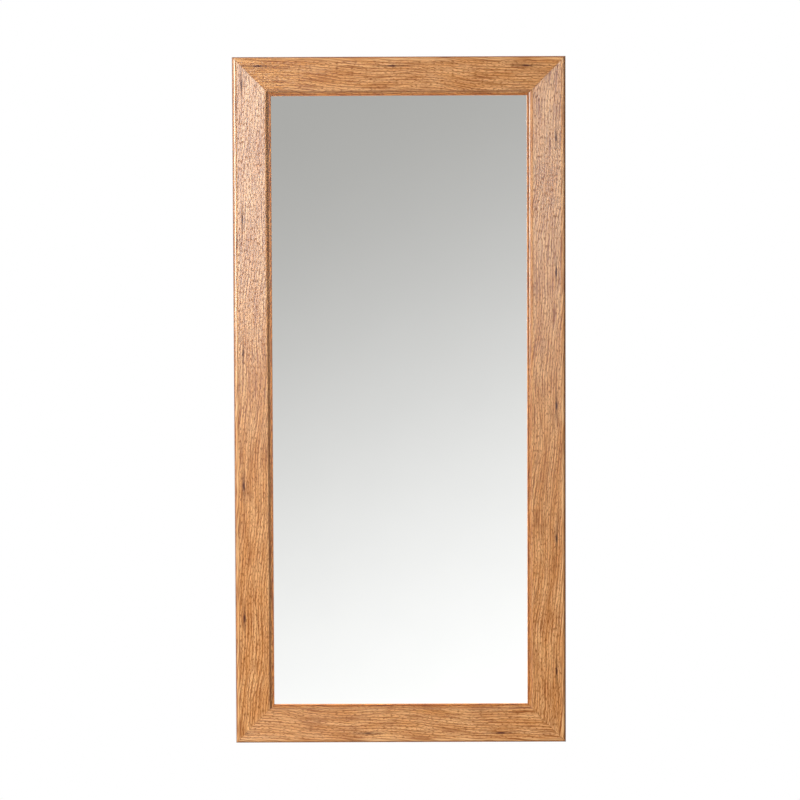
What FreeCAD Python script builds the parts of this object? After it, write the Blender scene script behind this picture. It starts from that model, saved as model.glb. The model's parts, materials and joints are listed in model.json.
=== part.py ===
import FreeCAD, Part
import math
import os

# Framed wall mirror. Millimetres, +Z up, front towards -Y.
# The origin is the centre of the mirror, on the plane of the wall behind it.

# Frame outline
frame_width = 580.0
frame_height = 1200.0

# Section of the frame moulding: widths run inward from the outer edge, heights from the back plane
moulding_width = 67.0
face_height = 21.7
back_edge_radius = 1.0
shoulder_radius = 4.5
bead_width = 6.2
bead_rise = 0.3
bead_slope = 0.9
bead_edge_radius = 0.5
groove_wall_width = 3.9
groove_depth = 4.0
groove_edge_radius = 0.6
groove_radius = 2.0
lip_width = 4.2
lip_rise = 0.5
lip_radius = 0.8
rebate_width = 8.0
rebate_depth = 14.5

# Sheets in the rebate
glass_thickness = 4.0
glass_arris = 0.5
board_thickness = 3.0
sheet_clearance = 1.0

# V-nails pressed into the back across each mitre
nail_thickness = 0.6
nail_leg = 7.0
nail_wing = 1.6
nail_depth = 10.0
nail_sink = 0.2
outer_nail_inset = 14.0
inner_nail_inset = 40.0

# Framer's points driven into the rebate wall, over the board
point_width = 6.0
point_thickness = 0.5
point_embed = 8.0
point_reach = 8.0
point_tip = 3.0
point_spacing = 220.0

# Clearance round nails, points and screws in the holes that they make for themselves
driven_fit = 0.02

# Strap hangers, with the ring's bar turning in the rolled eye
hanger_drop = 200.0
plate_width = 13.0
plate_thickness = 1.5
plate_length = 48.0
plate_end_radius = 5.0
eye_wrap_angle = 290.0
eye_clearance = 0.08
eye_end_gap = 0.5
ring_wire_radius = 1.5
ring_length = 15.5
ring_bend_radius = 5.0
ring_seam = 0.3
ring_rest_tilt = 2.0

# Pan-head hanger screws
upper_screw_drop = 25.0
lower_screw_drop = 40.0
screw_head_radius = 3.2
screw_head_height = 1.8
screw_shank_radius = 1.75
screw_length = 16.0
screw_hole_clearance = 0.15
recess_length = 3.6
recess_width = 0.8
recess_depth = 1.2

# Rubber wall bumpers: their height sets the frame's distance from the wall
bumper_height = 7.0
bumper_radius = 8.0
bumper_rise = 85.0

# Sizes that follow from the ones above
back_width = moulding_width - rebate_width
sheet_inset = back_width + sheet_clearance
board_back = rebate_depth - glass_thickness - board_thickness
eye_radius = ring_wire_radius + eye_clearance
eye_height = plate_thickness + eye_radius
hardware_offset = (frame_width - back_width) / 2

# Sides and corners in quarter turns about Y from the bottom side and the bottom left corner
SIDES = ("bottom", "left", "top", "right")
CORNERS = ("bottom_left", "top_left", "top_right", "bottom_right")
QUARTER_TURN = 90.0

# Sharp corners in a wire's sweep
MITRED_CORNERS = 1

ORIGIN = FreeCAD.Vector(0, 0, 0)
X_AXIS = FreeCAD.Vector(1, 0, 0)
Y_AXIS = FreeCAD.Vector(0, 1, 0)


def depth_y(height):
    """Y of a point at a height above the back plane of the frame."""
    return -bumper_height - height


def rounded_outline(corners, to_space):
    """Closed wire through corners (a, b, radius), each rounded by its own radius."""
    joins = []
    for index, (a, b, radius) in enumerate(corners):
        here = FreeCAD.Vector(a, b, 0)
        before = FreeCAD.Vector(*corners[index - 1][:2], 0) - here
        after = FreeCAD.Vector(*corners[(index + 1) % len(corners)][:2], 0) - here
        half_angle = before.getAngle(after) / 2
        before.normalize()
        after.normalize()
        setback = radius / math.tan(half_angle)
        middle_reach = radius / math.sin(half_angle) - radius
        middle = here + (before + after).normalize() * middle_reach
        joins.append((here + before * setback, middle, here + after * setback, radius))
    edges = []
    for index, (start, middle, end, radius) in enumerate(joins):
        if radius > 0:
            edges.append(Part.Arc(*[to_space(p.x, p.y) for p in (start, middle, end)]).toShape())
        following = joins[(index + 1) % len(joins)][0]
        edges.append(Part.LineSegment(to_space(end.x, end.y), to_space(following.x, following.y)).toShape())
    return Part.Wire(edges)


def prism(corners, to_space, reach):
    """Solid made by pushing a rounded outline along a vector."""
    return Part.Face(rounded_outline(corners, to_space)).extrude(reach)


def moulding_corners():
    """Section of the moulding as (width, height, corner radius), from the outer back edge round."""
    groove_width = moulding_width - lip_width
    lip_height = face_height - groove_depth + lip_rise
    bead_height = face_height + bead_rise
    return [
        (0, 0, back_edge_radius),
        (0, bead_height, shoulder_radius),
        (bead_width, bead_height, bead_edge_radius),
        (bead_width + bead_slope, face_height, bead_edge_radius),
        (groove_width - groove_wall_width, face_height, groove_edge_radius),
        (groove_width, face_height - groove_depth, groove_radius),
        (moulding_width, lip_height, lip_radius),
        (moulding_width, rebate_depth, 0),
        (back_width, rebate_depth, 0),
        (back_width, 0, back_edge_radius),
    ]


def frame_member(length):
    """One member along X with its outer edge at Z = 0, cut at 45 degrees at both ends."""
    half = length / 2
    margin = moulding_width
    bar = prism(
        moulding_corners(),
        lambda width, height: FreeCAD.Vector(-half, depth_y(height), width),
        FreeCAD.Vector(length, 0, 0),
    )
    mitred = [
        (-half - margin, -margin, 0),
        (half + margin, -margin, 0),
        (half - moulding_width - margin, moulding_width + margin, 0),
        (-half + moulding_width + margin, moulding_width + margin, 0),
    ]
    front = depth_y(face_height + bead_rise) - margin
    between_mitres = prism(
        mitred,
        lambda x, z: FreeCAD.Vector(x, front, z),
        FreeCAD.Vector(0, -front + margin, 0),
    )
    return bar.common(between_mitres)


def v_nail(fit, start):
    """Bent strip with its point on the mitre and legs along X and Z, grown by a fit."""
    inner = nail_thickness + fit
    end = nail_leg + fit
    shoulder = nail_leg - nail_thickness - fit
    wing = nail_wing + fit
    outline = [
        (-fit, -fit, 0),
        (end, -fit, 0),
        (end, wing, 0),
        (shoulder, wing, 0),
        (shoulder, inner, 0),
        (inner, inner, 0),
        (inner, shoulder, 0),
        (wing, shoulder, 0),
        (wing, end, 0),
        (-fit, end, 0),
    ]
    return prism(
        outline,
        lambda x, z: FreeCAD.Vector(x, depth_y(start), z),
        FreeCAD.Vector(0, start - nail_sink - nail_depth - fit, 0),
    )


def corner_nails(corner, fit, start):
    """The two nails of one corner, in place."""
    nails = []
    for inset in (outer_nail_inset, inner_nail_inset):
        nail = v_nail(fit, start)
        nail.translate(FreeCAD.Vector(inset, 0, inset))
        nails.append(nail)
    group = Part.makeCompound(nails)
    turn = CORNERS.index(corner)
    group.rotate(ORIGIN, Y_AXIS, QUARTER_TURN * turn)
    group.translate(
        FreeCAD.Vector(
            frame_width / 2 * (-1 if turn < 2 else 1),
            0,
            frame_height / 2 * (1 if turn in (1, 2) else -1),
        )
    )
    return group


def retaining_points(length, fit):
    """Row of flat points along one member's rebate wall, grown by a fit."""
    opening = length - 2 * back_width
    count = max(2, round(opening / point_spacing))
    half_width = point_width / 2 + fit
    tip = back_width - point_embed - fit
    outline = [
        (-half_width, back_width + point_reach, 0),
        (half_width, back_width + point_reach, 0),
        (half_width, tip + point_tip, 0),
        (0, tip, 0),
        (-half_width, tip + point_tip, 0),
    ]
    points = []
    for index in range(count):
        point = prism(
            outline,
            lambda x, width: FreeCAD.Vector(x, depth_y(board_back + fit), width),
            FreeCAD.Vector(0, point_thickness + 2 * fit, 0),
        )
        point.translate(FreeCAD.Vector(opening * ((index + 0.5) / count - 0.5), 0, 0))
        points.append(point)
    return Part.makeCompound(points)


def on_side(shape, side):
    """Carries a shape made along X, with the outer edge at Z = 0, to its side of the frame."""
    turn = SIDES.index(side)
    reach = frame_height if turn % 2 == 0 else frame_width
    placed = shape.copy()
    placed.translate(FreeCAD.Vector(0, 0, -reach / 2))
    placed.rotate(ORIGIN, Y_AXIS, QUARTER_TURN * turn)
    return placed


def sheet(front_height, thickness):
    """Flat sheet in the rebate, with its front at a height above the back plane."""
    width = frame_width - 2 * sheet_inset
    height = frame_height - 2 * sheet_inset
    corner = FreeCAD.Vector(-width / 2, depth_y(front_height), -height / 2)
    return Part.makeBox(width, thickness, height, corner)


def mirror_glass():
    """Float glass pane with its sharp edges taken off."""
    pane = sheet(rebate_depth, glass_thickness)
    return pane.makeChamfer(glass_arris, pane.Edges)


def hanger_screw():
    """Pan-head screw on the strap, with a cross recess in its head."""
    head_top = plate_thickness + screw_head_height
    seat = FreeCAD.Vector(0, plate_thickness, 0)
    head = Part.makeCylinder(screw_head_radius, screw_head_height, seat, Y_AXIS)
    shank = Part.makeCylinder(screw_shank_radius, screw_length, seat, -Y_AXIS)
    corner = FreeCAD.Vector(-recess_length / 2, head_top - recess_depth, -recess_width / 2)
    slot = Part.makeBox(recess_length, recess_depth, recess_width, corner)
    across = slot.copy()
    across.rotate(ORIGIN, Y_AXIS, QUARTER_TURN)
    return head.fuse(shank).cut(slot.fuse(across))


def screw_hole(clearance):
    """Room for a screw's shank, from the strap's front face to past the screw's end."""
    mouth = FreeCAD.Vector(0, plate_thickness, 0)
    return Part.makeCylinder(screw_shank_radius + clearance, screw_length + clearance, mouth, -Y_AXIS)


def at_screws(shape):
    """Copies of a shape at both screw places of a hanger."""
    copies = []
    for drop in (upper_screw_drop, lower_screw_drop):
        placed = shape.copy()
        placed.translate(FreeCAD.Vector(0, 0, -drop))
        copies.append(placed)
    return Part.makeCompound(copies)


def hanger_plate():
    """Strap whose upper end is rolled into an eye about X; the back plane is Y = 0."""
    outer = eye_radius + plate_thickness

    def eye_point(radius, turned):
        angle = math.radians(turned)
        out = eye_height - radius * math.cos(angle)
        return FreeCAD.Vector(-plate_width / 2, out, radius * math.sin(angle))

    def eye_arc(radius):
        return Part.Arc(
            eye_point(radius, 0),
            eye_point(radius, eye_wrap_angle / 2),
            eye_point(radius, eye_wrap_angle),
        ).toShape()

    eye_end = [eye_point(radius, eye_wrap_angle) for radius in (outer, eye_radius)]
    end_low = FreeCAD.Vector(-plate_width / 2, 0, -plate_length)
    end_high = FreeCAD.Vector(-plate_width / 2, plate_thickness, -plate_length)
    section = Part.Wire(
        [
            Part.LineSegment(end_low, eye_point(outer, 0)).toShape(),
            eye_arc(outer),
            Part.LineSegment(eye_end[0], eye_end[1]).toShape(),
            eye_arc(eye_radius),
            Part.LineSegment(eye_point(eye_radius, 0), end_high).toShape(),
            Part.LineSegment(end_high, end_low).toShape(),
        ]
    )
    strap = Part.Face(section).extrude(FreeCAD.Vector(plate_width, 0, 0))
    plan = [
        (-plate_width / 2, -plate_length, plate_end_radius),
        (plate_width / 2, -plate_length, plate_end_radius),
        (plate_width / 2, 2 * outer, 0),
        (-plate_width / 2, 2 * outer, 0),
    ]
    rounded = prism(
        plan,
        lambda x, z: FreeCAD.Vector(x, -outer, z),
        FreeCAD.Vector(0, 2 * (outer + eye_height), 0),
    )
    holes = at_screws(screw_hole(screw_hole_clearance))
    return strap.common(rounded).cut(holes)


def hanger_ring():
    """Wire D-ring whose straight bar lies in the eye, tilted off the strap; its seam is in the eye."""
    side = plate_width / 2 + eye_end_gap + ring_wire_radius
    leg_end = ring_bend_radius - ring_length
    crown_end = side - ring_bend_radius
    bend_reach = ring_bend_radius * math.sqrt(0.5)

    def at(x, z):
        return FreeCAD.Vector(x, eye_height, z)

    def bend(hand):
        middle = at(hand * (crown_end + bend_reach), leg_end - bend_reach)
        return [at(hand * side, leg_end), middle, at(hand * crown_end, -ring_length)]

    path = Part.Wire(
        [
            Part.LineSegment(at(ring_seam / 2, 0), at(side, 0)).toShape(),
            Part.LineSegment(at(side, 0), at(side, leg_end)).toShape(),
            Part.Arc(*bend(1)).toShape(),
            Part.LineSegment(at(crown_end, -ring_length), at(-crown_end, -ring_length)).toShape(),
            Part.Arc(*reversed(bend(-1))).toShape(),
            Part.LineSegment(at(-side, leg_end), at(-side, 0)).toShape(),
            Part.LineSegment(at(-side, 0), at(-ring_seam / 2, 0)).toShape(),
        ]
    )
    wire_section = Part.Wire(Part.makeCircle(ring_wire_radius, at(ring_seam / 2, 0), X_AXIS))
    ring = path.makePipeShell([wire_section], True, False, MITRED_CORNERS)
    ring.rotate(at(0, 0), X_AXIS, ring_rest_tilt)
    return ring


def wall_bumper():
    """Round rubber pad cut from sheet, between the back of the frame and the wall."""
    return Part.makeCylinder(bumper_radius, bumper_height, FreeCAD.Vector(0, -bumper_height, 0), Y_AXIS)


def build():
    """Every node of the mirror by name."""
    lengths = {side: frame_width if side in ("top", "bottom") else frame_height for side in SIDES}
    names = {"bottom": "bottom_rail", "left": "left_stile", "top": "top_rail", "right": "right_stile"}
    members = {side: on_side(frame_member(lengths[side]), side) for side in SIDES}
    nodes = {
        "mirror_glass": mirror_glass(),
        "backing_board": sheet(board_back + board_thickness, board_thickness),
    }

    for side in SIDES:
        nodes["points_" + side] = on_side(retaining_points(lengths[side], 0), side)
        members[side] = members[side].cut(on_side(retaining_points(lengths[side], driven_fit), side))

    for turn, corner in enumerate(CORNERS):
        nodes["v_nails_" + corner] = corner_nails(corner, 0, nail_sink)
        pockets = corner_nails(corner, driven_fit, -driven_fit)
        for side in (SIDES[turn], SIDES[(turn + 1) % len(SIDES)]):
            members[side] = members[side].cut(pockets)

    hardware_top = frame_height / 2 - hanger_drop
    for side, x in (("left", -hardware_offset), ("right", hardware_offset)):
        hanger_place = FreeCAD.Vector(x, -bumper_height, hardware_top)
        hanger = {
            "hanger_plate_": hanger_plate(),
            "hanger_ring_": hanger_ring(),
            "hanger_screws_": at_screws(hanger_screw()),
        }
        pilots = at_screws(screw_hole(driven_fit))
        pilots.translate(hanger_place)
        members[side] = members[side].cut(pilots)
        for prefix, shape in hanger.items():
            shape.translate(hanger_place)
            nodes[prefix + side] = shape
        bumper = wall_bumper()
        bumper.translate(FreeCAD.Vector(x, 0, bumper_rise - frame_height / 2))
        nodes["bumper_" + side] = bumper

    for side in SIDES:
        nodes[names[side]] = members[side]
    return nodes


os.makedirs("parts", exist_ok=True)
for node, shape in build().items():
    shape.exportStep(os.path.join("parts", node + ".step"))
    solids = shape.Solids
    volume = sum(solid.Volume for solid in solids)
    print(node, "solids", len(solids), "valid", shape.isValid(), "volume", round(volume, 2))
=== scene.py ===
import json
import math

import bmesh
import bpy
from mathutils import Matrix, Vector


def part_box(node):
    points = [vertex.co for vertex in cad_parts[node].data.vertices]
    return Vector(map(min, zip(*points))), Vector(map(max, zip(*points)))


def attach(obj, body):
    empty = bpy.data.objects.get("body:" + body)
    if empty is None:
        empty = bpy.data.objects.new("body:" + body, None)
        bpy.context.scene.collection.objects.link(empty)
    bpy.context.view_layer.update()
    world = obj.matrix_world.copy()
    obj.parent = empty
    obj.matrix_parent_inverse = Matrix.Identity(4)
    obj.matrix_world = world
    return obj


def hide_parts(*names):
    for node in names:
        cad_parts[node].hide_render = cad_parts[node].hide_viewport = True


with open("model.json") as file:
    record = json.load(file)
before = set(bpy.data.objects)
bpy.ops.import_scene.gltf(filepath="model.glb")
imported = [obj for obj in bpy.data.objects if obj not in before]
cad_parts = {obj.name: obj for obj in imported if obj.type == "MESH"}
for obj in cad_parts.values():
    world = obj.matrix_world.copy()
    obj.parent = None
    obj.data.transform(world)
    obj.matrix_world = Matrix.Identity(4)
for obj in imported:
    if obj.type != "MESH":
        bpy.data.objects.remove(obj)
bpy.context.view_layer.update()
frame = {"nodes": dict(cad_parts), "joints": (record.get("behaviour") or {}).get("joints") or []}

# Metres, in the frame of the solids: +Z up, the wall at y = 0 and the mirror's face towards -Y.
# Sizes of patterns and places in the moulding's section are in millimetres.
MM = 0.001
QUARTER_TURN = math.pi / 2

# Sizes read from the solids
SIDES = ("top", "right", "bottom", "left")
MEMBERS = {"top": "top_rail", "right": "right_stile", "bottom": "bottom_rail", "left": "left_stile"}
member_low, member_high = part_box("left_stile")
glass_low, glass_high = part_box("mirror_glass")
CREST_Y = member_low.y
BACK_Y = member_high.y
HALF_WIDTH = -member_low.x
HALF_HEIGHT = member_high.z
MOULDING_WIDTH = member_high.x - member_low.x


def linear(hex_colour):
    """A colour written as sRGB hex, in the linear values that shaders take."""
    values = [int(hex_colour[i:i + 2], 16) / 255 for i in (1, 3, 5)]
    return [v / 12.92 if v <= 0.04045 else ((v + 0.055) / 1.055) ** 2.4 for v in values] + [1.0]


def add(tree, kind, sources=(), **settings):
    """Adds a shader node with its options set. Sources go to its sockets, in order or by name:
    a value, another node's output, or a node for its first output. None leaves a socket as it is."""
    node = tree.nodes.new("ShaderNode" + kind)
    for name, value in settings.items():
        setattr(node, name, value)
    if isinstance(sources, dict):
        pairs = [(node.inputs[name], source) for name, source in sources.items()]
    else:
        pairs = zip([socket for socket in node.inputs if socket.enabled], sources)
    for socket, source in pairs:
        if isinstance(source, bpy.types.Node):
            source = next(output for output in source.outputs if output.enabled)
        if isinstance(source, bpy.types.NodeSocket):
            tree.links.new(source, socket)
        elif source is not None:
            socket.default_value = source
    return node


def new_material(name):
    """An empty material with its node tree, and its Object coordinates in millimetres."""
    material = bpy.data.materials.new(name)
    material.use_nodes = True
    tree = material.node_tree
    tree.nodes.clear()
    coords = add(tree, "TexCoord")
    place = add(tree, "VectorMath", [coords.outputs["Object"], [1 / MM] * 3], operation="MULTIPLY")
    return material, tree, place


def finish_material(tree, sockets):
    """Closes a material with one Principled shader."""
    shader = add(tree, "BsdfPrincipled", sockets)
    add(tree, "OutputMaterial", {"Surface": shader.outputs[0]})


# How a pattern shows is written as four numbers: from and to in the pattern's own values, and what
# they become there, which is a share of a colour, a distance or a roughness.

# The Wave texture's own period, to which a spacing in millimetres is scaled
WAVE_PERIOD = math.tau / 20

# Print roller of the foil: one turn of it, where on each member a knot mark falls, and the step by which
# the members' patterns are set apart
FIGURE_REPEAT = 233.0
KNOT_PLACE = {"top": -12.0, "right": 241.0, "bottom": 58.0, "left": 86.0}
SEED_STEP = 40.0

# The knot mark: its inset and half width, the half length and strength of the mark and of its fading
# tail, the shares of these sizes between which it fades in, and how ragged its edge is
KNOT_INSET = 16.5
KNOT_WIDTH = 2.6
KNOT_MARKS = ((14.0, 1.0), (42.0, 0.5))
KNOT_EDGE = (1.1, 0.2)
KNOT_RAG_SHOW = (0.2, 0.8, -0.4, 0.4)

# Run of the grain: its slant, its wave by the inset, and its wander with that noise's length and width
GRAIN_SLANT = math.tan(math.radians(3.5))
GRAIN_WAVE_SHOW = (15.0, MOULDING_WIDTH / MM, 1.35, 4.5)
WANDER_SIZE = (55.0, 18.0)
WANDER_SHOW = (0.2, 0.8, -1.6, 1.6)

# Marks of the print: length along the grain, width across it and octaves of detail. The pressed pores
# are 0.3 mm wide in fact, and drawn coarser to show in the picture.
PRINT_NOISE = {
    "line": (60.0, 1.7, 2.0),
    "pore": (6.5, 1.5, 1.0),
    "cloud": (80.0, 13.0, 2.0),
    "hair": (20.0, 0.45, 2.0),
}
VEIN_SIZE = (75.0, 4.8)
CLOUD_SHOW = (0.3, 0.7, 0.0, 1.0)
VEIN_SHOW = (0.7, 1.0, 0.0, 0.65)
LINE_SHOW = (0.50, 0.64, 0.0, 0.8)
PORE_SHOW = (0.53, 0.63, 0.0, 0.7)
HAIR_SHOW = (0.3, 0.7, 0.84, 1.16)

# Places across the section, from the outer edge: the stretch over the bead's crown where no pores show,
# by its middle and half width, the embossed face between bead and groove, and the foil's edge on the back
CLEAR_MIDDLE = 4.9
CLEAR_HALF = 2.6
EMBOSSED = (8.1, 56.9)
FOIL_TURN_IN = 6.0

# The bead's rise over the face of the moulding, its width and the radius of its crown
BEAD_RISE = 0.3
BEAD_WIDTH = 6.2
BEAD_CROWN = 12.0

# What the print is multiplied by, at insets from the outer edge: painted shade on the outer shoulder,
# down the groove's wall and on the lip beside the glass, and a painted highlight on the bead
SECTION_PAINTED_LIGHT = (
    (1.0, (0.38, 0.27, 0.19)),
    (3.6, (1.0, 1.0, 1.0)),
    (4.4, (1.06, 1.15, 1.28)),
    (5.6, (1.06, 1.15, 1.28)),
    (6.4, (1.0, 1.0, 1.0)),
    (58.8, (1.0, 1.0, 1.0)),
    (59.4, (0.62, 0.54, 0.46)),
    (61.4, (0.62, 0.54, 0.46)),
    (62.6, (1.0, 1.0, 1.0)),
    (64.2, (0.735, 0.53, 0.26)),
)

# The lacquer's roughness at insets from the outer edge: it is lower on the bead's crown, on the face
# and on the groove's floor
LACQUER_ROUGHNESS = (
    (3.4, 1.0),
    (4.0, 0.34),
    (5.5, 0.34),
    (5.8, 1.0),
    (7.8, 1.0),
    (8.4, 0.44),
    (56.6, 0.44),
    (57.2, 1.0),
    (61.2, 1.0),
    (61.6, 0.31),
    (63.2, 0.31),
    (63.6, 1.0),
)

# What the print's pores and knots add to the roughness
PORE_MATT = 0.4
KNOT_MATT = 0.3

# The lacquer's sheen, the depth of what is pressed into it, and the fine line at the mitre
FOIL_SPECULAR = 0.25
FOIL_ANISOTROPY = 0.9
PRESSED_DEPTH = 0.25
PRESSED_STRENGTH = 0.7
MITRE_LINE = 0.7
MITRE_SHARE = 0.6

# Fibreboard core under the foil. Its fibres are far finer in fact, and drawn coarser to show.
CORE_FIBRE = 3.5
CORE_PATCH = (45.0, 14.0)
CORE_FELT_SHOW = (0.3, 0.7, 0.0, 1.0)
CORE_PATCH_SHOW = (0.35, 0.65, 0.0, 0.45)
CORE_ROUGHNESS = 0.9

# Distance in front of the back and of the rebate's floor at which they are told from the sides
BACK_MARGIN = 0.2
REBATE_MARGIN = 0.1


def slanting_grain(tree, along, across, from_knot, flat, seed):
    """Coordinates along and across the grain, whose lines run at a slant, bend back towards the outer
    edge once in each repeat of the print, and wander a little."""
    phase = add(tree, "Math", [from_knot, math.tau / FIGURE_REPEAT], operation="MULTIPLY")
    swing = add(tree, "Math", [phase], operation="SINE")
    swing_mm = add(tree, "MapRange", [across, *GRAIN_WAVE_SHOW])
    leaning = add(tree, "Math", [along, -GRAIN_SLANT, across], operation="MULTIPLY_ADD")
    waving = add(tree, "Math", [swing, swing_mm, leaning], operation="MULTIPLY_ADD")
    wander_scale = (1 / WANDER_SIZE[0], 1 / WANDER_SIZE[1], 1)
    wander_place = add(tree, "VectorMath", [flat, wander_scale], operation="MULTIPLY")
    wander = add(tree, "TexNoise", {"Vector": wander_place, "Scale": 1.0, "Detail": 1.0})
    wander_mm = add(tree, "MapRange", [wander, *WANDER_SHOW])
    bent = add(tree, "Math", [waving, wander_mm], operation="ADD")
    return add(tree, "CombineXYZ", [along, bent, seed])


def knot_mark(tree, across, from_knot, raggedness):
    """Share of one dark knot mark with a ragged edge and a fading tail in each repeat of the print."""
    repeat = add(tree, "Math", [from_knot, FIGURE_REPEAT / 2, -FIGURE_REPEAT / 2], operation="WRAP")
    ragged = add(tree, "MapRange", [raggedness, *KNOT_RAG_SHOW])
    knot_off = add(tree, "Math", [across, KNOT_INSET], operation="SUBTRACT")
    knot_across = add(tree, "Math", [knot_off, 1 / KNOT_WIDTH, ragged], operation="MULTIPLY_ADD")
    marks = []
    for length, strength in KNOT_MARKS:
        knot_along = add(tree, "Math", [repeat, 1 / length], operation="MULTIPLY")
        knot_place = add(tree, "CombineXYZ", [knot_along, knot_across, 0.0])
        distance = add(tree, "VectorMath", [knot_place], operation="LENGTH").outputs["Value"]
        marks.append(
            add(
                tree, "MapRange", [distance, *KNOT_EDGE, 0.0, strength], interpolation_type="SMOOTHSTEP"
            )
        )
    return add(tree, "Math", marks, operation="MAXIMUM")


def oak_print(tree, grain, across, from_knot, inset):
    """Colour of the printed oak figure, with the shares of its lines, its pores and its knot marks."""
    noises = {}
    for name, (length, width, detail) in PRINT_NOISE.items():
        stretched = add(tree, "VectorMath", [grain, (1 / length, 1 / width, 1)], operation="MULTIPLY")
        noises[name] = add(tree, "TexNoise", {"Vector": stretched, "Scale": 1.0, "Detail": detail})
    vein_scale = (1 / VEIN_SIZE[0], WAVE_PERIOD / VEIN_SIZE[1], 1)
    vein_place = add(tree, "VectorMath", [grain, vein_scale], operation="MULTIPLY")
    vein = add(
        tree,
        "TexWave",
        {"Vector": vein_place, "Scale": 1.0, "Distortion": 3.5, "Detail": 2.0, "Detail Scale": 1.5},
        bands_direction="Y",
    ).outputs["Fac"]
    clouds, veins, lines, pitted = [
        add(tree, "MapRange", [pattern, *show], interpolation_type="SMOOTHSTEP")
        for pattern, show in (
            (noises["cloud"], CLOUD_SHOW),
            (vein, VEIN_SHOW),
            (noises["line"], LINE_SHOW),
            (noises["pore"], PORE_SHOW),
        )
    ]
    on_crown = add(tree, "Math", [inset, CLEAR_MIDDLE, CLEAR_HALF], operation="COMPARE")
    off_crown = add(tree, "Math", [1.0, on_crown], operation="SUBTRACT")
    pores = add(tree, "Math", [pitted, off_crown], operation="MULTIPLY")
    knot = knot_mark(tree, across, from_knot, noises["line"])

    colour = add(tree, "Mix", [clouds, linear("#DCA56D"), linear("#C88A50")], data_type="RGBA")
    for share, ink in ((veins, "#8A4A08"), (lines, "#7E3E02"), (pores, "#723800"), (knot, "#421400")):
        colour = add(tree, "Mix", [share, colour, linear(ink)], data_type="RGBA")
    hairs = add(tree, "MapRange", [noises["hair"], *HAIR_SHOW])
    figure = add(tree, "Mix", [1.0, colour, hairs], data_type="RGBA", blend_type="MULTIPLY")
    return figure, lines, pores, knot


def section_ramps(tree, inset):
    """The painted shade and highlight that multiply the print, and the lacquer's roughness across the
    section.
    """
    section_share = add(tree, "Math", [inset, MOULDING_WIDTH / MM], operation="DIVIDE")
    dullness = [(inset_mm, [roughness] * 3) for inset_mm, roughness in LACQUER_ROUGHNESS]
    ramps = []
    for values in (SECTION_PAINTED_LIGHT, dullness):
        ramp = add(tree, "ValToRGB", [section_share])
        stops = ramp.color_ramp.elements
        stops.remove(stops[1])
        for index, (inset_mm, value) in enumerate(values):
            position = inset_mm * MM / MOULDING_WIDTH
            stop = stops.new(position) if index else stops[0]
            stop.position = position
            stop.color = (*value, 1.0)
        ramps.append(ramp)
    return ramps


def bare_fibreboard(tree, place, flat):
    """Colour of the core where no foil covers it, pale brown felted fibres in patches, and the fibres."""
    fibres = add(
        tree, "TexNoise", {"Vector": place, "Scale": 1 / CORE_FIBRE, "Detail": 4.0, "Roughness": 0.7}
    )
    patch_scale = (1 / CORE_PATCH[0], 1 / CORE_PATCH[1], 1)
    patch_place = add(tree, "VectorMath", [flat, patch_scale], operation="MULTIPLY")
    patches = add(tree, "TexNoise", {"Vector": patch_place, "Scale": 1.0, "Detail": 2.0})
    felted = add(tree, "MapRange", [fibres, *CORE_FELT_SHOW])
    matted = add(tree, "Mix", [felted, linear("#8A6440"), linear("#D3AE80")], data_type="RGBA")
    mottled = add(tree, "MapRange", [patches, *CORE_PATCH_SHOW])
    bare = add(tree, "Mix", [mottled, matted, linear("#9A7248")], data_type="RGBA")
    return bare, fibres


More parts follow.
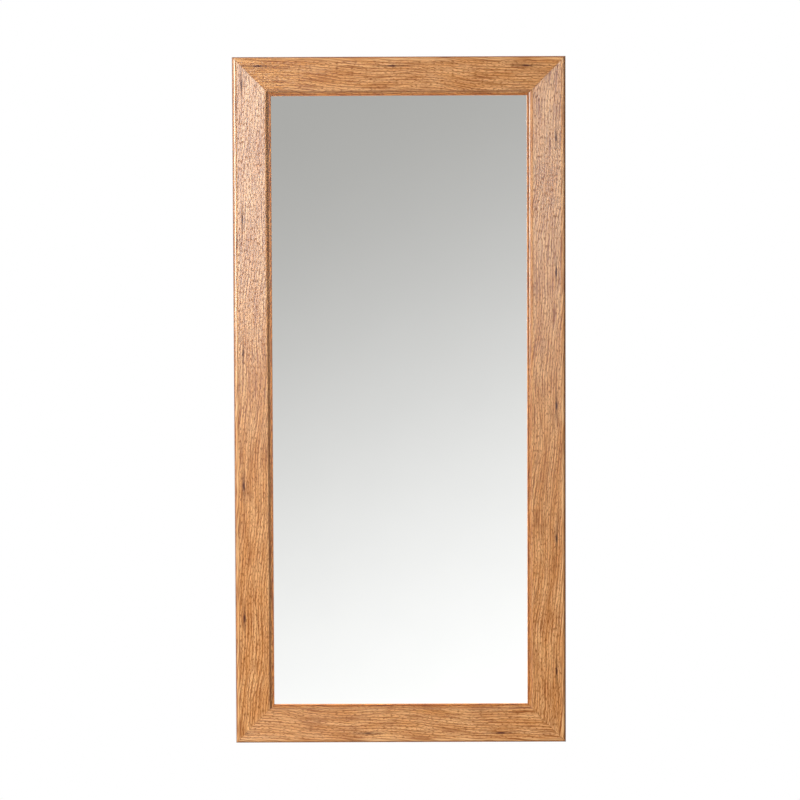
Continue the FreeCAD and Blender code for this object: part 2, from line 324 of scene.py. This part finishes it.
def printed_oak_foil(side):
    """Oak figure printed on a lacquered foil with pressed-in pores, wrapped round a fibreboard core.
    The eye sees fine slanting grain lines, a knot mark at each turn of the print roller, and a pale
    sheen where the pressed pores, which run along the member, catch the light across the grain."""
    material, tree, place_mm = new_material("printed_oak_foil_" + side)
    turn = SIDES.index(side)
    is_rail = turn % 2 == 0
    reach, half_length = (HALF_HEIGHT, HALF_WIDTH) if is_rail else (HALF_WIDTH, HALF_HEIGHT)
    seed = SEED_STEP * turn

    # Millimetres along the member, behind its crest and inward from its outer edge
    place = add(
        tree,
        "Mapping",
        {
            "Vector": place_mm,
            "Location": (0, -CREST_Y / MM, -reach / MM),
            "Rotation": (0, -turn * QUARTER_TURN, 0),
        },
    )
    along, behind, outward = add(tree, "SeparateXYZ", [place]).outputs
    inset = add(tree, "Math", [outward, -1.0], operation="MULTIPLY")
    from_knot = add(tree, "Math", [along, -KNOT_PLACE[side]], operation="ADD")

    # Across the foil as it lies round the section: the print goes on down the sides, which count
    # back from the face on the outer half and on from it on the inner half
    below_face = add(tree, "Math", [behind, BEAD_RISE], operation="SUBTRACT")
    inner_half = add(tree, "Math", [inset, MOULDING_WIDTH / MM / 2], operation="GREATER_THAN")
    way_round = add(tree, "Math", [inner_half, 2.0, -1.0], operation="MULTIPLY_ADD")
    across = add(tree, "Math", [below_face, way_round, inset], operation="MULTIPLY_ADD")
    flat = add(tree, "CombineXYZ", [along, across, seed])
    grain = slanting_grain(tree, along, across, from_knot, flat, seed)
    figure, lines, pores, knot = oak_print(tree, grain, across, from_knot, inset)

    # Painted shade and highlight across the section, which end at the back, and a fine line at the mitre
    painted_light, lacquer = section_ramps(tree, inset)
    back_mm = (BACK_Y - CREST_Y) / MM
    at_back = add(tree, "Math", [behind, back_mm - BACK_MARGIN], operation="GREATER_THAN")
    on_show = add(tree, "Math", [1.0, at_back], operation="SUBTRACT")
    # The print takes its painted shade and highlight here
    print_with_painted_light = add(tree, "Mix", [on_show, figure, painted_light], data_type="RGBA", blend_type="MULTIPLY")
    run = add(tree, "Math", [along], operation="ABSOLUTE")
    to_mitre = add(tree, "Math", [run, inset], operation="ADD")
    mitre_mm = half_length / MM
    seam = add(tree, "MapRange", [to_mitre, mitre_mm - MITRE_LINE, mitre_mm, 0.0, MITRE_SHARE])
    printed = add(tree, "Mix", [seam, print_with_painted_light, linear("#5A3519")], data_type="RGBA")

    # Bare fibreboard shows on the back, inside the foil's turned-in edge, and in the rebate
    bare, fibres = bare_fibreboard(tree, place, flat)
    past_foil = add(tree, "Math", [inset, FOIL_TURN_IN], operation="GREATER_THAN")
    on_back = add(tree, "Math", [past_foil, at_back], operation="MULTIPLY")
    rebate_mm = (glass_low.y - CREST_Y) / MM
    past_lip = add(tree, "Math", [behind, rebate_mm - REBATE_MARGIN], operation="GREATER_THAN")
    in_rebate = add(tree, "Math", [inner_half, past_lip], operation="MULTIPLY")
    core = add(tree, "Math", [on_back, in_rebate], operation="MAXIMUM")

    # Pores and knots are duller than the lacquer round them
    past_bead = add(tree, "Math", [inset, EMBOSSED[0]], operation="GREATER_THAN")
    before_groove = add(tree, "Math", [inset, EMBOSSED[1]], operation="LESS_THAN")
    embossed = add(tree, "Math", [past_bead, before_groove], operation="MULTIPLY")
    face_pores = add(tree, "Math", [pores, embossed], operation="MULTIPLY")
    in_knots = add(tree, "Math", [knot, KNOT_MATT, lacquer], operation="MULTIPLY_ADD")
    in_pores = add(
        tree, "Math", [face_pores, PORE_MATT, in_knots], operation="MULTIPLY_ADD", use_clamp=True
    )

    # The foil swells over the bead, and pores and lines are pressed into the lacquer
    from_bead = add(tree, "Math", [BEAD_WIDTH, inset], operation="SUBTRACT")
    on_bead = add(tree, "Math", [from_bead, 0.0], operation="MAXIMUM")
    fall = add(tree, "Math", [on_bead, on_bead], operation="MULTIPLY")
    crown = add(tree, "Math", [fall, -1 / (2 * BEAD_CROWN)], operation="MULTIPLY")
    swell = add(tree, "Bump", {"Strength": 1.0, "Distance": MM, "Height": crown})
    pressed = add(tree, "Math", [lines, embossed, face_pores], operation="MULTIPLY_ADD")
    relief = add(tree, "Math", [pressed, -1.0], operation="MULTIPLY")
    height = add(tree, "Mix", [core, relief, fibres.outputs[0]], data_type="FLOAT")
    surface = add(
        tree,
        "Bump",
        {"Strength": PRESSED_STRENGTH, "Distance": PRESSED_DEPTH * MM, "Height": height, "Normal": swell},
    )
    finish_material(
        tree,
        {
            "Base Color": add(tree, "Mix", [core, printed, bare], data_type="RGBA"),
            "Roughness": add(tree, "Mix", [core, in_pores, CORE_ROUGHNESS], data_type="FLOAT"),
            "Specular IOR Level": FOIL_SPECULAR,
            "Anisotropic": FOIL_ANISOTROPY,
            "Normal": surface,
            "Tangent": add(tree, "Tangent", direction_type="RADIAL", axis="X" if is_rail else "Z"),
        },
    )
    return material


# Marks of wiping on the glass and the roughness they give, the grit of its ground edges and its paint,
# and the distance from the pane's two faces at which they are told from its edges
WIPE_SIZE = 90.0
WIPE_SHOW = (0.3, 0.8, 0.0, 0.012)
GRIT_SIZE = 0.5
GROUND_ROUGHNESS = 0.55
PANE_MARGIN = 0.05


def silvered_float_glass():
    """Float glass silvered and painted on its back, with ground edges. The eye sees a sharp, almost
    colourless reflection in front, a matt grey paint behind and the green of the glass at the edges."""
    material, tree, place = new_material("silvered_float_glass")
    behind = add(tree, "SeparateXYZ", [place]).outputs["Y"]
    in_front = add(tree, "Math", [behind, glass_low.y / MM + PANE_MARGIN], operation="LESS_THAN")
    painted = add(tree, "Math", [behind, glass_high.y / MM - PANE_MARGIN], operation="GREATER_THAN")
    wipes = add(tree, "TexNoise", {"Vector": place, "Scale": 1 / WIPE_SIZE, "Detail": 3.0})
    wiped = add(tree, "MapRange", [wipes, *WIPE_SHOW])
    silver = add(tree, "Mix", [wipes, linear("#FBFCFB"), linear("#F8F9F8")], data_type="RGBA")
    grit = add(tree, "TexNoise", {"Vector": place, "Scale": 1 / GRIT_SIZE, "Detail": 3.0})
    ground = add(tree, "Mix", [grit, linear("#5F8A7B"), linear("#8FB3A6")], data_type="RGBA")
    paint = add(tree, "Mix", [grit, linear("#6A6D6B"), linear("#7B7E7C")], data_type="RGBA")
    behind_colour = add(tree, "Mix", [painted, ground, paint], data_type="RGBA")
    finish_material(
        tree,
        {
            "Base Color": add(tree, "Mix", [in_front, behind_colour, silver], data_type="RGBA"),
            "Metallic": in_front,
            "Roughness": add(tree, "Mix", [in_front, GROUND_ROUGHNESS, wiped], data_type="FLOAT"),
        },
    )
    return material


# Fibres and patches of the hardboard, and the wire mesh pressed into its back, which is 1.3 mm in fact
# and drawn four times as coarse to show
FELT_SIZE = 6.0
FELT_SHOW = (0.3, 0.7, 0.0, 1.0)
FELT_ROUGHNESS = (0.3, 0.7, 0.62, 0.8)
FELT_HEIGHT = 0.8
PATCH_SIZE = 70.0
PATCH_SHOW = (0.4, 0.65, 0.0, 0.4)
MESH_PITCH = 5.2
MESH_SHOW = (0.5, 1.0, 0.5, 0.0)
MESH_DEPTH = 0.4


def pressed_hardboard():
    """Wet-pressed hardboard with its screen side out: brown felted fibres with the mesh's fine imprint,
    whose hollows are darkened as painted shade.
    """
    material, tree, place = new_material("pressed_hardboard")
    felt = add(
        tree, "TexNoise", {"Vector": place, "Scale": 1 / FELT_SIZE, "Detail": 8.0, "Roughness": 0.65}
    )
    patches = add(tree, "TexNoise", {"Vector": place, "Scale": 1 / PATCH_SIZE, "Detail": 3.0})
    matted = add(tree, "MapRange", [felt, *FELT_SHOW])
    brown = add(tree, "Mix", [matted, linear("#4E321F"), linear("#9C7150")], data_type="RGBA")
    mottled = add(tree, "MapRange", [patches, *PATCH_SHOW])
    colour = add(tree, "Mix", [mottled, brown, linear("#5F422D")], data_type="RGBA")
    mesh_place = add(tree, "VectorMath", [place, [WAVE_PERIOD / MESH_PITCH] * 3], operation="MULTIPLY")
    wires = [
        add(
            tree,
            "TexWave",
            {"Vector": mesh_place, "Scale": 1.0, "Distortion": 0.6, "Detail": 1.0},
            bands_direction=direction,
        ).outputs["Fac"]
        for direction in ("X", "Z")
    ]
    screen = add(tree, "Math", wires, operation="MAXIMUM")
    height = add(tree, "Math", [felt, FELT_HEIGHT, screen], operation="MULTIPLY_ADD")
    # The imprint's hollows are darkened: painted shade
    shaded = add(tree, "MapRange", [screen, *MESH_SHOW])
    finish_material(
        tree,
        {
            "Base Color": add(tree, "Mix", [shaded, colour, linear("#452C1B")], data_type="RGBA"),
            "Roughness": add(tree, "MapRange", [felt, *FELT_ROUGHNESS]),
            "Normal": add(
                tree, "Bump", {"Strength": 0.5, "Distance": MESH_DEPTH * MM, "Height": height}
            ),
        },
    )
    return material


# Clouds in the zinc, the length and width of the drawing lines under it, and the share and depth of these
ZINC_CLOUD = 3.5
ZINC_SHOW = (0.3, 0.7, 0.0, 1.0)
DRAW_SIZE = (6.0, 0.25)
DRAW_SHARE = 0.4
DRAW_DEPTH = 0.05
ZINC_ROUGHNESS = (0.1, 1.3, 0.24, 0.44)


def zinc_plated_steel():
    """Stamped and drawn steel with a bright zinc plating: bluish white metal, clouded where the
    plating passivated, with faint lines from rolling."""
    material, tree, place = new_material("zinc_plated_steel")
    clouds = add(tree, "TexNoise", {"Vector": place, "Scale": 1 / ZINC_CLOUD, "Detail": 3.0})
    line_scale = (1 / DRAW_SIZE[1], 1 / DRAW_SIZE[1], 1 / DRAW_SIZE[0])
    line_place = add(tree, "VectorMath", [place, line_scale], operation="MULTIPLY")
    lines = add(tree, "TexNoise", {"Vector": line_place, "Scale": 1.0, "Detail": 2.0})
    tone = add(tree, "MapRange", [clouds, *ZINC_SHOW], interpolation_type="SMOOTHSTEP")
    wear = add(tree, "Math", [lines, DRAW_SHARE, tone], operation="MULTIPLY_ADD")
    finish_material(
        tree,
        {
            "Base Color": add(tree, "Mix", [tone, linear("#D3D7DA"), linear("#B3B9C0")], data_type="RGBA"),
            "Metallic": 1.0,
            "Roughness": add(tree, "MapRange", [wear, *ZINC_ROUGHNESS]),
            "Normal": add(
                tree, "Bump", {"Strength": 0.15, "Distance": DRAW_DEPTH * MM, "Height": lines}
            ),
        },
    )
    return material


# Rolling streaks and patches of oil on the strip
STREAK_SIZE = 0.4
OIL_SIZE = 3.2
STRIP_ROUGHNESS = (0.3, 0.7, 0.26, 0.46)


def cold_rolled_steel():
    """Bright cold-rolled strip, cut and pressed: grey metal with fine streaks and dull patches of oil."""
    material, tree, place = new_material("cold_rolled_steel")
    streaks = add(tree, "TexNoise", {"Vector": place, "Scale": 1 / STREAK_SIZE, "Detail": 2.0})
    patches = add(tree, "TexNoise", {"Vector": place, "Scale": 1 / OIL_SIZE, "Detail": 2.0})
    finish_material(
        tree,
        {
            "Base Color": add(
                tree, "Mix", [patches, linear("#C2C0BA"), linear("#94918A")], data_type="RGBA"
            ),
            "Metallic": 1.0,
            "Roughness": add(tree, "MapRange", [streaks, *STRIP_ROUGHNESS]),
        },
    )
    return material


# Grain of the rubber sheet, and the paler bloom on it
RUBBER_GRAIN = 0.5
GRAIN_DEPTH = 0.15
BLOOM_SIZE = 6.0
BLOOM_ROUGHNESS = (0.3, 0.7, 0.66, 0.86)


def cut_sheet_rubber():
    """Solid rubber cut from sheet: matt dark grey with a fine grain and a bloom of paler patches."""
    material, tree, place = new_material("cut_sheet_rubber")
    grain = add(tree, "TexNoise", {"Vector": place, "Scale": 1 / RUBBER_GRAIN, "Detail": 3.0})
    bloom = add(tree, "TexNoise", {"Vector": place, "Scale": 1 / BLOOM_SIZE, "Detail": 3.0})
    finish_material(
        tree,
        {
            "Base Color": add(tree, "Mix", [bloom, linear("#232221"), linear("#403E3C")], data_type="RGBA"),
            "Roughness": add(tree, "MapRange", [bloom, *BLOOM_ROUGHNESS]),
            "Normal": add(
                tree, "Bump", {"Strength": 0.4, "Distance": GRAIN_DEPTH * MM, "Height": grain}
            ),
        },
    )
    return material


def dress(node, material):
    """Gives a solid its material."""
    mesh = frame["nodes"][node].data
    mesh.materials.clear()
    mesh.materials.append(material)


for side, node in MEMBERS.items():
    dress(node, printed_oak_foil(side))
dress("mirror_glass", silvered_float_glass())
dress("backing_board", pressed_hardboard())
zinc = zinc_plated_steel()
steel = cold_rolled_steel()
rubber = cut_sheet_rubber()
for node in frame["nodes"]:
    if node.startswith("hanger"):
        dress(node, zinc)
    elif node.startswith(("v_nails", "points")):
        dress(node, steel)
    elif node.startswith("bumper"):
        dress(node, rubber)


# Shading and edges of the pieces that are drawn finer than the solids
MERGE_DISTANCE = 0.001 * MM
FLAT_ANGLE = math.radians(1.0)
SMOOTH_ANGLE = math.radians(38.0)
SHARP_ANGLE = math.radians(60.0)
FLAT_AREA = 20.0 * MM * MM

# How far their edges are eased, and in how many steps: the strap's are chamfered, the others rounded
STRAP_EASE = 0.25 * MM
SCREW_DOME = 0.8 * MM
BUMPER_EASE = 0.9 * MM
CHAMFER_STEPS = 1
ROUND_STEPS = 4

# Share of a screw head's radius outside which an edge of its top belongs to the rim
RIM_SHARE = 0.95

# The ring's wire: its radius, its tight bends at the eye and wide ones at the crown, and its tilt at rest
WIRE_RADIUS = 1.5 * MM
WIRE_SIDES = 24
EYE_BEND = 1.9 * MM
EYE_BEND_STEPS = 8
CROWN_BEND = 5.0 * MM
CROWN_BEND_STEPS = 16
REST_TILT = math.radians(2.0)


def shown_piece(name, shape, material, node, body):
    """Turns a bmesh into a piece that stands for a solid and moves with its body. Its large flat faces
    keep their own normals, so that the rounding beside them doesn't bend their shading."""
    mesh = bpy.data.meshes.new(name)
    shape.to_mesh(mesh)
    shape.free()
    mesh.materials.append(material)
    mesh.shade_smooth()
    mesh.set_sharp_from_angle(angle=SMOOTH_ANGLE)
    normals = [
        face.normal.copy() if face.area > FLAT_AREA else mesh.corner_normals[corner].vector.copy()
        for face in mesh.polygons
        for corner in face.loop_indices
    ]
    mesh.normals_split_custom_set(normals)
    piece = bpy.data.objects.new(name, mesh)
    bpy.context.scene.collection.objects.link(piece)
    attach(piece, body)
    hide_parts(node)


def eased_copy(node, ease, steps, is_eased):
    """A copy of a solid with chosen edges eased."""
    shape = bmesh.new()
    shape.from_mesh(frame["nodes"][node].data)
    bmesh.ops.remove_doubles(shape, verts=shape.verts, dist=MERGE_DISTANCE)
    bmesh.ops.dissolve_limit(shape, angle_limit=FLAT_ANGLE, verts=shape.verts, edges=shape.edges)
    bmesh.ops.bevel(
        shape,
        geom=[edge for edge in shape.edges if is_eased(edge)],
        offset=ease,
        offset_type="OFFSET",
        affect="EDGES",
        segments=steps,
        profile=0.5,
        material=-1,
    )
    return shape


def is_sharp(edge):
    """Whether the faces beside an edge turn away from each other enough for it to be eased."""
    return edge.calc_face_angle(0.0) > SHARP_ANGLE


def on_head_rim(node):
    """A test for the edges round the tops of a hanger's two screw heads."""
    low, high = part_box(node)
    radius = (high.x - low.x) / 2
    axes = [Vector((low.x + radius, 0, z)) for z in (low.z + radius, high.z - radius)]

    def is_rim(edge):
        for corner in edge.verts:
            flat = Vector((corner.co.x, 0, corner.co.z))
            off_axis = min((flat - axis).length for axis in axes)
            if off_axis < RIM_SHARE * radius or high.y - corner.co.y > MERGE_DISTANCE:
                return False
        return True

    return is_rim


def bent_wire_ring(node, joint):
    """A D-ring bent from round wire: a bar in the eye, two tight bends, two legs and a flat crown with
    wide bends. It is drawn from the middle of the bar and back to it."""
    low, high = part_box(node)
    pivot = Vector(joint["pos_m"])
    half = (high.x - low.x) / 2 - WIRE_RADIUS
    drop = pivot.z - low.z - WIRE_RADIUS
    shape = bmesh.new()
    upright = Matrix.Rotation(QUARTER_TURN, 4, "Y")
    bmesh.ops.create_circle(shape, segments=WIRE_SIDES, radius=WIRE_RADIUS, matrix=upright)
    end = list(shape.edges)

    def draw(step):
        nonlocal end
        grown = bmesh.ops.extrude_edge_only(shape, edges=end)["geom"]
        fresh = [corner for corner in grown if isinstance(corner, bmesh.types.BMVert)]
        bmesh.ops.translate(shape, verts=fresh, vec=step)
        edges = [edge for edge in grown if isinstance(edge, bmesh.types.BMEdge)]
        end = [edge for edge in edges if set(fresh).issuperset(edge.verts)]

    def bend(centre, steps):
        nonlocal end
        spun = bmesh.ops.spin(
            shape,
            geom=end,
            cent=centre,
            axis=(0, 1, 0),
            dvec=(0, 0, 0),
            angle=QUARTER_TURN,
            steps=steps,
            use_merge=False,
        )
        end = [edge for edge in spun["geom_last"] if isinstance(edge, bmesh.types.BMEdge)]

    bar = half - EYE_BEND
    crown = half - CROWN_BEND
    leg = drop - EYE_BEND - CROWN_BEND
    draw((bar, 0, 0))
    bend((bar, 0, -EYE_BEND), EYE_BEND_STEPS)
    draw((0, 0, -leg))
    bend((crown, 0, CROWN_BEND - drop), CROWN_BEND_STEPS)
    draw((-2 * crown, 0, 0))
    bend((-crown, 0, CROWN_BEND - drop), CROWN_BEND_STEPS)
    draw((0, 0, leg))
    bend((-bar, 0, -EYE_BEND), EYE_BEND_STEPS)
    draw((bar, 0, 0))
    bmesh.ops.remove_doubles(shape, verts=shape.verts, dist=MERGE_DISTANCE)
    bmesh.ops.recalc_face_normals(shape, faces=shape.faces)
    tilt = Matrix.Rotation(REST_TILT, 3, "X")
    bmesh.ops.rotate(shape, verts=shape.verts, cent=(0, 0, 0), matrix=tilt)
    bmesh.ops.translate(shape, verts=shape.verts, vec=pivot)
    return shape


joints = {joint["name"]: joint for joint in frame["joints"]}
for side in ("left", "right"):
    ring = bent_wire_ring("hanger_ring_" + side, joints[side + "_ring_swing"])
    strap = eased_copy("hanger_plate_" + side, STRAP_EASE, CHAMFER_STEPS, is_sharp)
    is_rim = on_head_rim("hanger_screws_" + side)
    screws = eased_copy("hanger_screws_" + side, SCREW_DOME, ROUND_STEPS, is_rim)
    bumper = eased_copy("bumper_" + side, BUMPER_EASE, ROUND_STEPS, is_sharp)
    shown_piece("wire_ring_" + side, ring, zinc, "hanger_ring_" + side, side + "_ring")
    shown_piece("strap_" + side, strap, zinc, "hanger_plate_" + side, "mirror")
    shown_piece("pan_screws_" + side, screws, zinc, "hanger_screws_" + side, "mirror")
    shown_piece("rubber_pad_" + side, bumper, rubber, "bumper_" + side, "mirror")


# Places in the world are axes of the unit sphere. Ahead of the mirror is a studio that goes from a
# white floor to a grey upper room, at a tilt that stops growing at a reach to either side.
STUDIO_WHITE = (1.12, 1.12, 1.12, 1.0)
STUDIO_GREY = (0.43, 0.425, 0.413, 1.0)
GRADIENT_TILT = 0.40
GRADIENT_REACH = 0.25
GRADIENT_LOW = -0.28
GRADIENT_HIGH = 0.155

# Away from the front, by Y, the studio goes over to a plain grey
ASIDE = (-0.92, -0.45)
ASIDE_GREY = (0.5, 0.5, 0.49, 1.0)

# Bright strips beside what the glass shows to the camera, on the left and above: each is an axis, where
# it fades in and out again, and its level
STRIPS = (
    ("X", (-0.16, -0.24, -0.36, -0.46), 14.0),
    ("Z", (0.20, 0.28, 0.60, 0.80), 4.5),
)

# Behind the mirror, past a soft edge by Y: a plain studio, by its heights and its levels there
BEHIND_EDGE = (-0.05, 0.05)
BEHIND_SHOW = (-0.5, 0.6, 1.0, 0.5)

# Light from all round: its heights and its levels there, and the share by which it falls off to the right
AMBIENT_SHOW = (-0.4, 0.8, 0.03, 0.8)
AMBIENT_LEAN = -0.5


def studio_in_gloss(tree, apart):
    """What the glass, the lacquer and the metal reflect."""
    aside = add(tree, "Clamp", [apart.outputs["X"], -GRADIENT_REACH, GRADIENT_REACH])
    height = add(tree, "Math", [aside, -GRADIENT_TILT, apart.outputs["Z"]], operation="MULTIPLY_ADD")
    fade = add(
        tree, "MapRange", [height, GRADIENT_LOW, GRADIENT_HIGH, 0.0, 1.0], interpolation_type="SMOOTHSTEP"
    )
    ahead = add(tree, "Mix", [fade, STUDIO_WHITE, STUDIO_GREY], data_type="RGBA")
    sideways = add(
        tree, "MapRange", [apart.outputs["Y"], *ASIDE, 0.0, 1.0], interpolation_type="SMOOTHSTEP"
    )
    shown = add(tree, "Mix", [sideways, ahead, ASIDE_GREY], data_type="RGBA")
    for axis, edges, level in STRIPS:
        come, go = [
            add(tree, "MapRange", [apart.outputs[axis], *edge, 0.0, 1.0], interpolation_type="SMOOTHSTEP")
            for edge in (edges[:2], edges[2:])
        ]
        share = add(tree, "Math", [come, go], operation="SUBTRACT")
        shown = add(tree, "Mix", [share, shown, [level] * 3 + [1.0]], data_type="RGBA")
    behind = add(tree, "MapRange", [apart.outputs["Y"], *BEHIND_EDGE, 0.0, 1.0])
    plain = add(
        tree, "MapRange", [apart.outputs["Z"], *BEHIND_SHOW], interpolation_type="SMOOTHSTEP"
    )
    return add(tree, "Mix", [behind, shown, plain], data_type="RGBA")


def studio_world():
    """White to the camera, a studio in reflections, and a soft light from above on everything else."""
    world = bpy.data.worlds.new("studio")
    bpy.context.scene.world = world
    world.use_nodes = True
    tree = world.node_tree
    tree.nodes.clear()
    coords = add(tree, "TexCoord")
    apart = add(tree, "SeparateXYZ", [coords.outputs["Generated"]])
    in_gloss = studio_in_gloss(tree, apart)
    path = add(tree, "LightPath")
    direct = add(
        tree,
        "Math",
        [path.outputs["Is Camera Ray"], path.outputs["Is Transmission Ray"]],
        operation="MAXIMUM",
    )
    rising = add(
        tree, "MapRange", [apart.outputs["Z"], *AMBIENT_SHOW], interpolation_type="SMOOTHSTEP"
    )
    leaning = add(tree, "Math", [apart.outputs["X"], AMBIENT_LEAN, 1.0], operation="MULTIPLY_ADD")
    surround = add(tree, "Math", [rising, leaning], operation="MULTIPLY")
    ambient = add(tree, "Mix", [direct, surround, (1, 1, 1, 1)], data_type="RGBA")
    colour = add(tree, "Mix", [path.outputs["Is Glossy Ray"], ambient, in_gloss], data_type="RGBA")
    background = add(tree, "Background", [colour])
    add(tree, "OutputWorld", {"Surface": background.outputs[0]})


# Floor of the studio, well below the hung mirror. It fades from and to shares of its radius, where it is
# mixed with shares of plain white, and its paint has a faint grain.
FLOOR_Z = -1.6
FLOOR_RADIUS = 2.4
FLOOR_SIDES = 96
FLOOR_FADE = (0.3, 1.0, 0.5, 1.0)
PAINT_GRAIN = 50.0


def studio_floor():
    """Pale floor whose rim fades into the white surround, and which keeps the mirror's soft shadow."""
    shape = bmesh.new()
    bmesh.ops.create_circle(shape, cap_ends=True, segments=FLOOR_SIDES, radius=FLOOR_RADIUS)
    bmesh.ops.translate(shape, verts=shape.verts, vec=(0, 0, FLOOR_Z))
    mesh = bpy.data.meshes.new("floor")
    shape.to_mesh(mesh)
    shape.free()
    floor = bpy.data.objects.new("floor", mesh)
    bpy.context.scene.collection.objects.link(floor)
    material, tree, place = new_material("matt_floor_paint")
    floor_scale = (MM / FLOOR_RADIUS, MM / FLOOR_RADIUS, 0)
    flat = add(tree, "VectorMath", [place, floor_scale], operation="MULTIPLY")
    from_centre = add(tree, "VectorMath", [flat], operation="LENGTH").outputs["Value"]
    fade = add(tree, "MapRange", [from_centre, *FLOOR_FADE], interpolation_type="SMOOTHSTEP")
    path = add(tree, "LightPath")
    seen = add(
        tree, "Math", [path.outputs["Is Camera Ray"], path.outputs["Is Glossy Ray"]], operation="MAXIMUM"
    )
    shown = add(tree, "Math", [seen, path.outputs["Is Transmission Ray"]], operation="MAXIMUM")
    faded = add(tree, "Math", [fade, shown], operation="MULTIPLY")
    grain = add(tree, "TexNoise", {"Vector": place, "Scale": 1 / PAINT_GRAIN, "Detail": 2.0})
    pale = add(tree, "Mix", [grain, linear("#F3F2EF"), linear("#EBEAE6")], data_type="RGBA")
    paint = add(tree, "BsdfPrincipled", {"Base Color": pale, "Roughness": 0.9})
    white = add(tree, "Emission", {"Strength": 1.0})
    mixed = add(tree, "MixShader", [faded, paint.outputs[0], white.outputs[0]])
    add(tree, "OutputMaterial", {"Surface": mixed.outputs[0]})
    mesh.materials.append(material)


def softbox(name, place, target, size, power, colour="#FFFFFF"):
    """A soft lamp of a width and a height at a place, turned to a target."""
    lamp = bpy.data.lights.new(name, "AREA")
    lamp.shape = "RECTANGLE"
    lamp.size, lamp.size_y = size
    lamp.energy = power
    lamp.color = linear(colour)[:3]
    holder = bpy.data.objects.new(name, lamp)
    bpy.context.scene.collection.objects.link(holder)
    holder.location = place
    holder.rotation_mode = "QUATERNION"
    holder.rotation_quaternion = (Vector(target) - Vector(place)).to_track_quat("-Z", "Y")
    holder.visible_camera = False
    return holder


# Camera, fitted to the outline of the frame in the photograph: its angles in degrees from facing the
# mirror squarely, its lens and sensor in millimetres
CAMERA_PLACE = (0.006, -3.327, 0.1215)
CAMERA_YAW = 0.10
CAMERA_PITCH = -2.06
CAMERA_ROLL = -0.207
LENS = 85.0
SENSOR = 36.0


def camera():
    """The camera, placed so that the frame's outline falls where it does in the photograph."""
    lens = bpy.data.cameras.new("camera")
    lens.lens = LENS
    lens.sensor_width = SENSOR
    holder = bpy.data.objects.new("camera", lens)
    bpy.context.scene.collection.objects.link(holder)
    level = Matrix.Rotation(math.radians(90 + CAMERA_PITCH), 4, "X")
    yawed = Matrix.Rotation(math.radians(CAMERA_YAW), 4, "Z")
    rolled = Matrix.Rotation(math.radians(CAMERA_ROLL), 4, "Z")
    holder.matrix_world = Matrix.Translation(CAMERA_PLACE) @ yawed @ level @ rolled
    bpy.context.scene.camera = holder


studio_world()
studio_floor()

# The key lights the frame and isn't reflected, the window gives only the pale sheen on the upper frame,
# and the back lamp lights the hangers
key = softbox("key", place=(-2.55, -2.04, 1.02), target=(0, 0, 0), size=(1.2, 1.2), power=118)
key.visible_glossy = False
window = softbox(
    "window",
    place=(-1.62, -2.05, 0.68),
    target=(0, 0, 0.1),
    size=(1.0, 1.2),
    power=445,
    colour="#D5F2FF",
)
window.visible_diffuse = False
softbox("back", place=(1.7, 2.4, 1.0), target=(0, 0, 0), size=(1.4, 1.4), power=80)
camera()
bpy.context.scene.view_settings.view_transform = "Standard"
